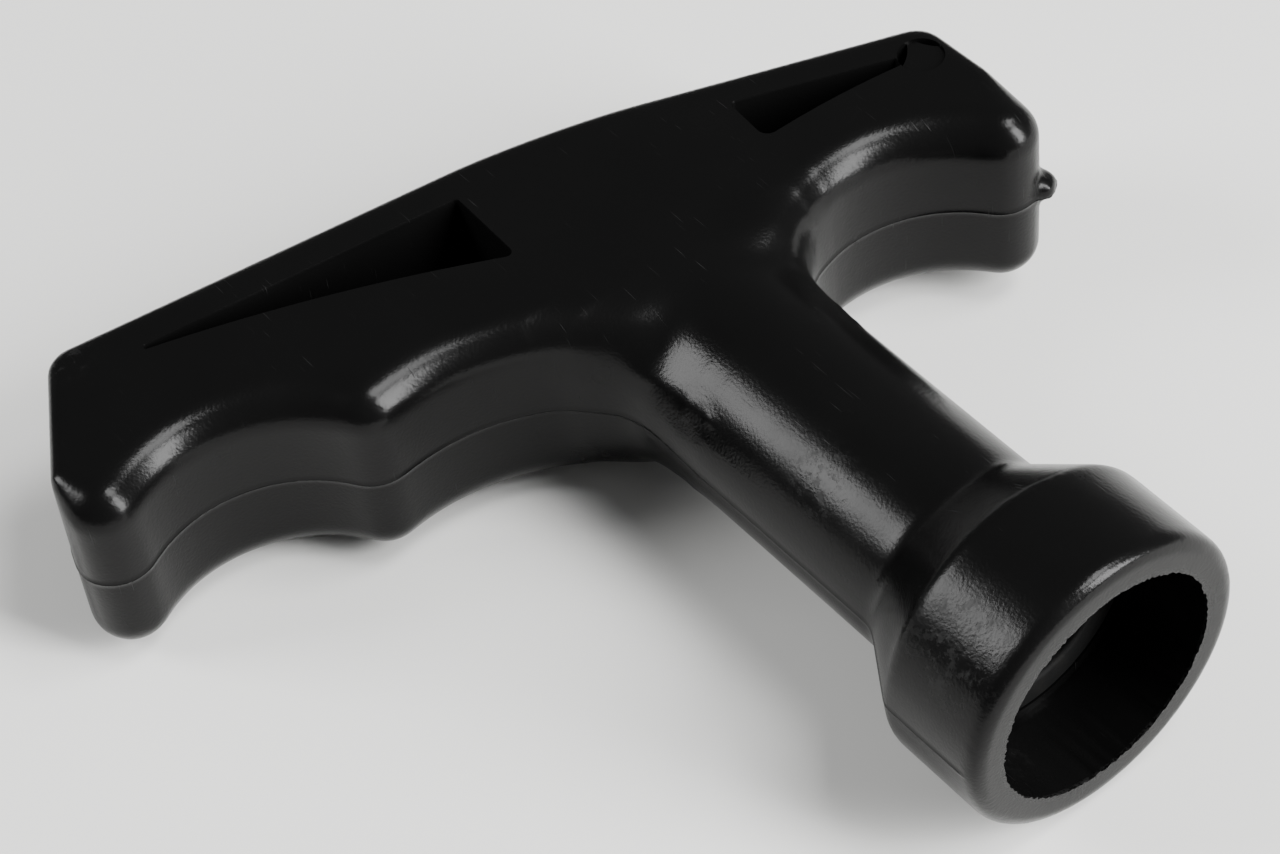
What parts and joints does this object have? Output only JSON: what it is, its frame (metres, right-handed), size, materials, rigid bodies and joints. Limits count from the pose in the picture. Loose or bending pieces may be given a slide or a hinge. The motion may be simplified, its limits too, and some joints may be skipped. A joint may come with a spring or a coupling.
{
  "type": "rope pull handle",
  "caption": "Moulded T handle with finger grooves on one side and a hollow stem that ends in an open collar, for pulling a starting or winding rope.",
  "frame": {"origin": "centre of the open mouth of the collar, on the stem axis", "axes": "+Y up the stem from the mouth into the grip, +Z through the thickness of the grip, +X across the stem towards the short arm"},
  "size_m": [0.1025, 0.0903, 0.032],
  "materials": {
    "moulded_grip": "glossy",
    "anchor_nylon": "satin",
    "plug_plastic": "glossy",
    "buffer_rubber": "matte"
  },
  "bodies": {
    "handle": {"grip": "moulded_grip", "seat_buffer": "buffer_rubber"},
    "anchor": {"rope_anchor": "anchor_nylon"},
    "plug": {"palm_plug": "plug_plastic"}
  },
  "joints": [
    {"name": "anchor_turn", "type": "hinge", "parent": "handle", "child": "anchor", "pos_m": [0, 0.069, 0], "axis": [0, 1, 0], "continuous": true},
    {"name": "plug_pull", "type": "slide", "parent": "handle", "child": "plug", "axis": [0, 1, 0], "range_m": [0, 0.03]}
  ]
}
